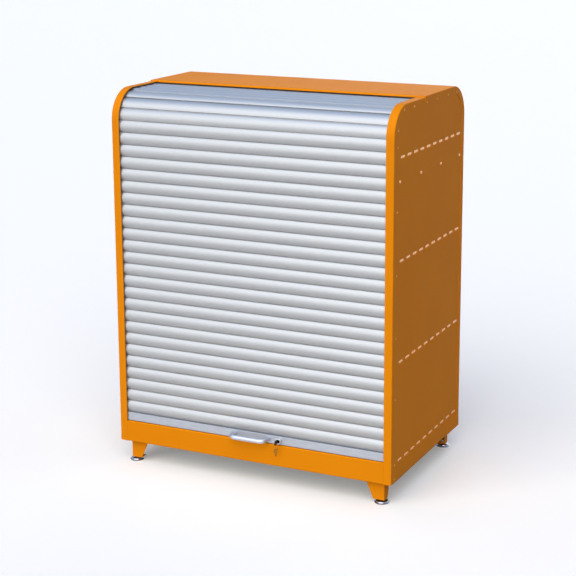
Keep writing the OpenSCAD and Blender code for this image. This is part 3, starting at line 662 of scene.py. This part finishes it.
def lockHousing():
    bm = bmesh.new()
    deep = (barrelHigh.y - barrelLow.y) / mm
    plug, barrel, rim = lock["plugMm"], lock["barrelMm"], lock["rimMm"]
    profile = [(plug, lock["seatMm"]), (plug + lock["mouthMm"], lock["mouthDeepMm"]), (barrel - rim, 0)]
    profile += [(barrel - rim * (1 - math.sin(a)), rim * (1 - math.cos(a))) for a in lock["rimTurns"]]
    profile += [(barrel, lock["barrelLengthMm"]), (lock["bodyMm"], lock["barrelLengthMm"])]
    profile += [(lock["bodyMm"], deep), (plug, deep)]
    lathe(bm, profile, (lockX, barrelLow.y, lockZ), (0, 1, 0), steps=lock["steps"], closed=True)
    return makePiece("lockHousing", bm, nickel, "shutter", ["lock_housing"], sharpDeg=30)


lockHousing()
keys = dict(thickMm=2, bladeMm=7, eyeMm=2.6, eyeWallMm=1.6, lockEyeMm=5, spareBowMm=7, spareTurnDeg=35,
            teeth=4, notchLeft=0.55, bowSteps=28, eyeSteps=24, wireSteps=12, ringSteps=48)


def keyBlank(name, outline, eye, replaced, body, material, turn=0):
    bm = bmesh.new()
    half = keys["thickMm"] / 2 * mm
    hole = circlePoints(eye, keys["eyeMm"] * mm, keys["eyeSteps"])
    punchedSheet(bm, [(lockX - half, y, z) for y, z in outline],
                 [[(lockX - half, y, z) for y, z in hole]], (2 * half, 0, 0))
    bmesh.ops.rotate(bm, verts=bm.verts, cent=(lockX, eye[0], 0), matrix=Matrix.Rotation(turn, 3, "Z"))
    return makePiece(name, bm, material, body, [replaced], sharpDeg=30)


def lockKey():
    keyLow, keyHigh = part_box("key")
    bowR = (keyHigh.z - keyLow.z) / 2
    bowY = keyLow.y + bowR
    half = keys["bladeMm"] / 2 * mm
    spread = math.degrees(math.asin(half / bowR))
    outline = arcPoints((bowY, lockZ), bowR, spread, 360 - spread, keys["bowSteps"])
    tipY = keyHigh.y - half / 2
    outline += [(tipY, lockZ - half), (keyHigh.y, lockZ), (tipY, lockZ + half)]
    keyBlank("lockKey", outline, (bowY, lockZ - keys["lockEyeMm"] * mm), "key", "lock", bronze)


def spareKey():
    keyLow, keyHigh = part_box("spare_key")
    bowR = keys["spareBowMm"] * mm
    bowY = (keyHigh.y + keyLow.y) / 2
    bowZ = keyHigh.z - bowR
    half = keys["bladeMm"] / 2 * mm
    spread = math.degrees(math.asin(half / bowR))
    outline = arcPoints((bowY, bowZ), bowR, -90 + spread, 270 - spread, keys["bowSteps"])
    step = (bowZ - bowR - keyLow.z) / keys["teeth"]
    for i in range(keys["teeth"]):
        z = bowZ - bowR - i * step
        outline += [(bowY - half, z), (bowY - half * keys["notchLeft"], z - step / 2)]
    outline += [(bowY, keyLow.z), (bowY + half, keyLow.z + half / 2)]
    eyeZ = keyHigh.z - (keys["eyeWallMm"] + keys["eyeMm"]) * mm
    turn = -math.radians(keys["spareTurnDeg"])
    keyBlank("spareKey", outline, (bowY, eyeZ), "spare_key", "key_ring", brass, turn)


def keyRing():
    ringLow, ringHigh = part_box("key_ring")
    bm = bmesh.new()
    wire = (ringHigh.y - ringLow.y) / 2
    centre = (ringLow + ringHigh) / 2
    big = (ringHigh.x - ringLow.x) / 2 - wire
    circle = circlePoints((big, 0), wire, keys["wireSteps"])
    loop = addLoop(bm, [(centre.x + a, centre.y + b, centre.z) for a, b in circle])
    turnEdges(bm, loop, centre, (0, 1, 0), 2 * math.pi, keys["ringSteps"], True)
    return makePiece("keyRing", bm, brass, "key_ring", ["key_ring"], sharpDeg=60)


lockKey()
spareKey()
keyRing()
print("lock and keys made")


# legs folded from plate, and the levelling feet
leg = dict(plateMm=2, foldMm=3.5, foldSteps=5, frontLowMm=38, sideLowMm=28, holeGapMm=0.05, holeSteps=24)
# the base's and collar's points count in from the disc's edge and out from the stud
foot = dict(discMm=24, discHighMm=8, baseMm=((2.0, 0), (0.6, 0.5), (0, 1.6)), rimMm=0.5, coveMm=4.4,
            coveTurns=(0.15, 0.5, 0.9, 1.25, 1.5), collarMm=(2.5, 2.0), studMm=4, threadMm=1.25,
            threadDeepMm=0.5, tipMm=1, tipHighMm=0.6, steps=48)
corners = {"front_left": (-1, -1), "front_right": (1, -1), "rear_left": (-1, 1), "rear_right": (1, 1)}


def cornerName(corner, kind):
    end, side = corner.split("_")
    return end + side.title() + kind


def legSection(wide, deep):
    fold, t = leg["foldMm"] * mm, leg["plateMm"] * mm
    outer = arcPoints((fold, fold), fold, 270, 180, leg["foldSteps"])
    inner = arcPoints((fold, fold), fold - t, 180, 270, leg["foldSteps"])
    return [(wide, 0)] + outer + [(0, deep), (t, deep)] + inner + [(wide, t)]


def cornerLeg(corner, sx, sy):
    low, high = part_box(corner + "_leg")
    outX = high.x if sx > 0 else low.x
    outY = high.y if sy > 0 else low.y
    lowWide, lowDeep = leg["frontLowMm"] * mm, leg["sideLowMm"] * mm
    bm = bmesh.new()
    rings = []
    for wide, deep, z in ((lowWide, lowDeep, low.z), (high.x - low.x, high.y - low.y, high.z)):
        section = [(outX - sx * a, outY - sy * b, z) for a, b in legSection(wide, deep)]
        rings.append(addLoop(bm, section))
    for ring in rings:
        bmesh.ops.edgeloop_fill(bm, edges=ring)
    bmesh.ops.bridge_loops(bm, edges=rings[0] + rings[1])
    footLow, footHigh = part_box(corner + "_foot")
    axis = ((footLow.x + footHigh.x) / 2, (footLow.y + footHigh.y) / 2)
    t = leg["plateMm"] * mm
    hole = circlePoints(axis, (foot["studMm"] + leg["holeGapMm"]) * mm, leg["holeSteps"])
    nearX, nearY = outX - sx * t, outY - sy * t
    farX, farY = outX - sx * lowWide, outY - sy * lowDeep
    base = [(nearX, nearY), (farX, nearY), (farX, farY), (nearX, farY)]
    punchedSheet(bm, [(x, y, low.z) for x, y in base], [[(x, y, low.z) for x, y in hole]], (0, 0, t))
    makePiece(cornerName(corner, "Leg"), bm, orangePaint, "cabinet", [corner + "_leg"])


def levellingFoot(corner):
    low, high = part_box(corner + "_foot")
    bm = bmesh.new()
    disc, tall, cove = foot["discMm"], foot["discHighMm"], foot["coveMm"]
    stud, pitch = foot["studMm"], foot["threadMm"]
    profile = [(0, 0)] + [(disc - r, h) for r, h in foot["baseMm"]]
    profile += [(disc, tall - cove - foot["rimMm"])]
    profile += [(disc - cove * math.sin(a), tall - cove * math.cos(a)) for a in foot["coveTurns"]]
    profile += [(stud + r, tall) for r in foot["collarMm"]]
    z = tall
    while z < (high.z - low.z) / mm - 2 * pitch:
        profile += [(stud - foot["threadDeepMm"], z), (stud, z + pitch / 2)]
        z += pitch
    profile += [(stud - foot["tipMm"], z + foot["tipHighMm"]), (0, z + foot["tipHighMm"])]
    centre = ((low.x + high.x) / 2, (low.y + high.y) / 2, low.z)
    lathe(bm, profile, centre, (0, 0, 1), steps=foot["steps"])
    body = corner + "_foot"
    makePiece(cornerName(corner, "Foot"), bm, chrome, body, [body], sharpDeg=40)


for corner, (sx, sy) in corners.items():
    cornerLeg(corner, sx, sy)
    levellingFoot(corner)
print("legs and feet made")


# rivet and screw heads, one island for each solid of the CAD group
# a profile's points are shares of the head's radius and of its height
heads = dict(rivet=[(1, 0), (0.97, 0.35), (0.82, 0.75), (0.52, 1), (0.3, 0.95), (0.27, 0.6), (0, 0.6)],
             screw=[(1, 0), (1, 0.2), (0.9, 0.55), (0.7, 0.8), (0.4, 1), (0.38, 1), (0.32, 0.5), (0, 0.4)],
             steps=20)


def islandCentres(node):
    bm = bmesh.new()
    bm.from_mesh(nodes[node].data)
    bmesh.ops.remove_doubles(bm, verts=bm.verts, dist=sheetWeld)
    left = set(bm.verts)
    centres = []
    while left:
        group, todo = set(), [left.pop()]
        while todo:
            v = todo.pop()
            group.add(v)
            for e in v.link_edges:
                w = e.other_vert(v)
                if w in left:
                    left.discard(w)
                    todo.append(w)
        low = Vector([min(v.co[k] for v in group) for k in range(3)])
        high = Vector([max(v.co[k] for v in group) for k in range(3)])
        centres.append(((low + high) / 2, high - low))
    bm.free()
    return centres


def headGroup(name, node, shape, material):
    bm = bmesh.new()
    for centre, size in islandCentres(node):
        side = 1 if centre.x > 0 else -1
        seat = (centre.x - side * size.x / 2, centre.y, centre.z)
        profile = [(r * size.z / 2 / mm, h * size.x / mm) for r, h in heads[shape]]
        lathe(bm, profile, seat, (side, 0, 0), steps=heads["steps"])
    return makePiece(name, bm, material, "cabinet", [node], sharpDeg=40)


headGroup("sideRivets", "side_rivets", "rivet", rivetPaintPaintedHighlight)
headGroup("coverRivets", "cover_rivets", "rivet", rivetPaintPaintedHighlight)
headGroup("shelfScrews", "shelf_screws", "screw", steelScrew)
print("rivets and screws made")


# trays and shelves, folded up from one sheet
trays = dict(foldMm=3, foldSegments=3, sumpWallMm=2, shelfWallMm=1.5)


def foldedTray(name, node, wallMm, material):
    low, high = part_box(node)
    bm = bmesh.new()
    addBox(bm, low, high)
    bmesh.ops.delete(bm, geom=[f for f in bm.faces if f.normal.z > 0.5], context="FACES")
    folds = [e for e in bm.edges if len(e.link_faces) == 2]
    bevelEdges(bm, folds, trays["foldMm"] * mm, trays["foldSegments"])
    return makePiece(name, bm, material, "cabinet", [node], wall=wallMm * mm,
                     inside=(low + high) / 2)


foldedTray("sumpTray", "sump_tray", trays["sumpWallMm"], orangePaint)
for level in ("lower", "middle", "upper"):
    foldedTray(level + "Shelf", level + "_shelf", trays["shelfWallMm"], greyPaint)
print("trays made")


# parts that keep their CAD shape and take only a finish
finishes = {
    "rear_corner_plates": orangePaint,
    "left_inner_liner": greyPaint, "right_inner_liner": greyPaint, "inner_back_wall": greyPaint,
    "inner_ceiling": greyPaint, "floor_pan": greyPaint,
    "left_guide_track": zinc, "right_guide_track": zinc,
    "left_slot_rails": tinPlatePaintedOrangeReflection, "right_slot_rails": tinPlatePaintedOrangeReflection,
    "lock_keeper": zinc, "shelf_brackets": zinc, "leg_nuts": zinc, "lock_cam": zinc,
    "handle_screws": steelScrew, "lock_plug": plugMetal,
    "rail_seal": rubber, "rail_glides": nylon, "brush_seal": bristle,
}
for name, material in finishes.items():
    nodes[name].data.materials.clear()
    nodes[name].data.materials.append(material)
print("finishes set")


# floor, light and camera
stageLook = dict(floorSize=60, floorSeen="#f5f2ed", floorBounced="#6a6a6a", floorRough=0.8,
                 floorGlow=0.16, glowColour="#ffffff", room=0.1, backdrop=0.9, horizon="#ffffff",
                 above="#c8deff", fadeUp=0.3)
suns = {
    "key": dict(colour="#fffdf8", strength=3.54, angleDeg=85, towards=(0.05, -0.79, 0.58)),
    "overhead": dict(colour="#94bbff", strength=0.64, angleDeg=80, towards=(0, 0.05, 1)),
    "rear": dict(colour="#ffffff", strength=0.8, angleDeg=60, towards=(0.04, 0.98, 0.2)),
}


def seenDirectly(tree):
    # 1 for the eye and for mirrors, 0 for the light that bounces on to the cabinet
    path = addNode(tree, "ShaderNodeLightPath")
    seen = addNode(tree, "ShaderNodeMath", {"operation": "MAXIMUM"},
                   {0: path.outputs["Is Camera Ray"], 1: path.outputs["Is Glossy Ray"]})
    return addNode(tree, "ShaderNodeMath", {"operation": "MAXIMUM"},
                   {0: seen.outputs["Value"], 1: path.outputs["Is Transmission Ray"]}).outputs["Value"]


def makeFloor():
    bm = bmesh.new()
    bmesh.ops.create_grid(bm, x_segments=1, y_segments=1, size=stageLook["floorSize"] / 2)
    mesh = bpy.data.meshes.new("floor")
    bm.to_mesh(mesh)
    bm.free()
    floor = bpy.data.objects.new("floor", mesh)
    bpy.context.scene.collection.objects.link(floor)
    material, tree, shader, _ = newMaterial("paleFloor", stageLook["floorSeen"], 0.0,
                                            stageLook["floorRough"])
    seen = seenDirectly(tree)
    tintedBy(tree, shader, seen, stageLook["floorBounced"], stageLook["floorSeen"])
    glow = addNode(tree, "ShaderNodeMath", {"operation": "MULTIPLY"},
                   {0: seen, 1: stageLook["floorGlow"]})
    shader.inputs["Emission Color"].default_value = hexColour(stageLook["glowColour"])
    tree.links.new(glow.outputs["Value"], shader.inputs["Emission Strength"])
    mesh.materials.append(material)


def makeLight():
    world = bpy.data.worlds.new("studio")
    bpy.context.scene.world = world
    world.use_nodes = True
    tree = world.node_tree
    sky = tree.nodes["Background"]
    # white at the horizon, where it meets the floor, and a cool tone higher up
    towards = addNode(tree, "ShaderNodeTexCoord").outputs["Generated"]
    height = addNode(tree, "ShaderNodeSeparateXYZ", None, {"Vector": towards}).outputs["Z"]
    fade = addNode(tree, "ShaderNodeMapRange", None, {"Value": height, "From Max": stageLook["fadeUp"]})
    tintedBy(tree, sky, fade.outputs["Result"], stageLook["horizon"], stageLook["above"], into="Color")
    strength = {"Value": seenDirectly(tree), "To Min": stageLook["room"], "To Max": stageLook["backdrop"]}
    level = addNode(tree, "ShaderNodeMapRange", None, strength)
    tree.links.new(level.outputs["Result"], sky.inputs["Strength"])
    for name, sun in suns.items():
        lamp = bpy.data.lights.new(name, "SUN")
        lamp.energy = sun["strength"]
        lamp.color = hexColour(sun["colour"])[:3]
        lamp.angle = math.radians(sun["angleDeg"])
        lit = bpy.data.objects.new(name, lamp)
        lit.rotation_euler = Vector(sun["towards"]).to_track_quat("Z", "Y").to_euler()
        bpy.context.scene.collection.objects.link(lit)


view = dict(focalPx=1519.66, middlePx=(325, 225), framePx=576, sensorMm=36,
            place=(2.1927, -4.4879, 1.9114), yawDeg=24.72, pitchDeg=12.45)


def makeCamera():
    lens = bpy.data.cameras.new("camera")
    lens.sensor_width = view["sensorMm"]
    lens.lens = view["focalPx"] / view["framePx"] * view["sensorMm"]
    lens.shift_x = 0.5 - view["middlePx"][0] / view["framePx"]
    lens.shift_y = view["middlePx"][1] / view["framePx"] - 0.5
    camera = bpy.data.objects.new("camera", lens)
    camera.location = view["place"]
    camera.rotation_euler = (math.radians(90 - view["pitchDeg"]), 0, math.radians(view["yawDeg"]))
    bpy.context.scene.collection.objects.link(camera)
    bpy.context.scene.camera = camera


makeFloor()
makeLight()
makeCamera()
bpy.context.scene.view_settings.view_transform = "Standard"
print("floor, light and camera set")
